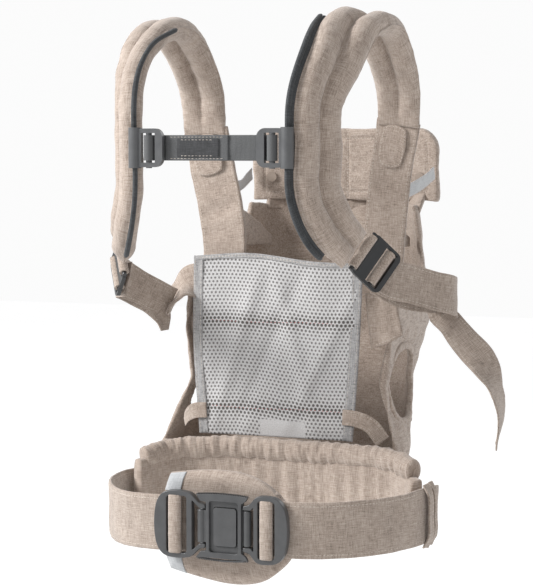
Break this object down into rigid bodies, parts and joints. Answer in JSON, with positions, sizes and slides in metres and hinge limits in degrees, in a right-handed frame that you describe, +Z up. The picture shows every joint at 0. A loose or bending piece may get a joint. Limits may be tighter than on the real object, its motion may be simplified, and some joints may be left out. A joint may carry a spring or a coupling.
{
  "type": "soft baby carrier",
  "caption": "Soft front baby carrier with padded shoulder straps, sliding chest strap, mesh inner panel, folding head support and a padded waist belt with a back buckle.",
  "frame": {"origin": "on the wearer's upright axis, level with the lower edge of the lumbar pad", "axes": "+X to the wearer's right, +Y forward from the wearer to the baby, +Z up"},
  "size_m": [0.4295, 0.441, 0.5692],
  "materials": {
    "fabric": "woven linen-like melange fabric, matte",
    "webbing": "folded and edge-stitched strap of the same woven fabric",
    "mesh": "knitted spacer mesh with open holes",
    "foam": "closed-cell foam, hidden",
    "stiffener": "polyethylene sheet, hidden",
    "elastic": "covered elastic, hidden",
    "rail": "dark grey woven piping",
    "chest_webbing": "grey ribbed webbing",
    "label": "plain dark woven label",
    "slider_plastic": "moulded acetal, satin",
    "buckle_plastic": "moulded acetal, satin",
    "ladder_plastic": "moulded acetal, satin",
    "pin_steel": "steel pin",
    "reflective": "light grey reflective tape"
  },
  "bodies": {
    "harness": {"belt_tunnel": "fabric", "front_panel": "fabric", "front_strap_left": "fabric", "front_strap_right": "fabric", "lumbar_pad_cover": "fabric", "lumbar_stiffener": "stiffener", "mesh_binding_left": "mesh", "mesh_binding_right": "mesh", "mesh_panel": "mesh", "mesh_tab_left": "webbing", "mesh_tab_right": "webbing", "pad_loop_left": "fabric", "pad_loop_right": "fabric", "rail_left": "rail", "rail_right": "rail", "reflective_strap_left": "reflective", "reflective_strap_right": "reflective", "shoulder_foam_left": "foam", "shoulder_foam_right": "foam", "shoulder_pad_left": "fabric", "shoulder_pad_right": "fabric", "shoulder_webbing_left": "webbing", "shoulder_webbing_right": "webbing", "side_flap_left": "fabric", "side_flap_right": "fabric", "strap_patch_left": "fabric", "strap_patch_right": "fabric", "tunnel_elastic": "elastic", "waist_belt_cover": "fabric", "waist_belt_foam": "foam", "waist_buckle_frame_left": "buckle_plastic", "waist_buckle_frame_right": "buckle_plastic", "waist_buckle_pin": "pin_steel", "waist_loop_left": "fabric", "waist_loop_right": "fabric", "waist_strap_left": "fabric", "waist_strap_right": "fabric", "webbing_tail_left": "webbing", "webbing_tail_right": "webbing", "wing_left": "fabric", "wing_right": "fabric"},
    "chest_strap": {"chest_label": "label", "chest_loop_left": "chest_webbing", "chest_loop_right": "chest_webbing", "chest_slider_left": "slider_plastic", "chest_slider_right": "slider_plastic", "chest_webbing": "chest_webbing", "chest_webbing_fold": "chest_webbing"},
    "ladder_left": {"ladder_buckle_left": "ladder_plastic", "webbing_turn_left": "webbing"},
    "ladder_right": {"ladder_buckle_right": "ladder_plastic", "webbing_turn_right": "webbing"},
    "buckle_plate": {"waist_buckle_plate": "buckle_plastic"},
    "buckle_button": {"waist_buckle_button": "buckle_plastic"},
    "head_support": {"head_support_cover": "fabric", "head_support_foam": "foam", "head_stud_left": "fabric", "head_stud_right": "fabric"}
  },
  "joints": [
    {"name": "chest_strap_height", "type": "slide", "parent": "harness", "child": "chest_strap", "axis": [0, 0, 1], "range_m": [-0.02, 0.02]},
    {"name": "ladder_tilt_left", "type": "hinge", "parent": "harness", "child": "ladder_left", "pos_m": [-0.13017, -0.04863, 0.31653], "axis": [-0.3847, 0.5129, 0.7674], "range_deg": [0, 25]},
    {"name": "ladder_tilt_right", "type": "hinge", "parent": "harness", "child": "ladder_right", "pos_m": [0.13517, -0.05163, 0.32853], "axis": [-0.4095, -0.4927, -0.7678], "range_deg": [0, 25]},
    {"name": "buckle_open", "type": "hinge", "parent": "harness", "child": "buckle_plate", "pos_m": [-0.002, -0.138, 0.06], "axis": [0, 0, -1], "range_deg": [0, 75]},
    {"name": "button_press", "type": "slide", "parent": "buckle_plate", "child": "buckle_button", "axis": [0, 1, 0], "range_m": [0, 0.0015], "stiffness_N_per_m": 600},
    {"name": "head_support_fold", "type": "hinge", "parent": "harness", "child": "head_support", "pos_m": [0.006, 0.299, 0.3678], "axis": [-1, 0, 0], "range_deg": [0, 150]}
  ]
}
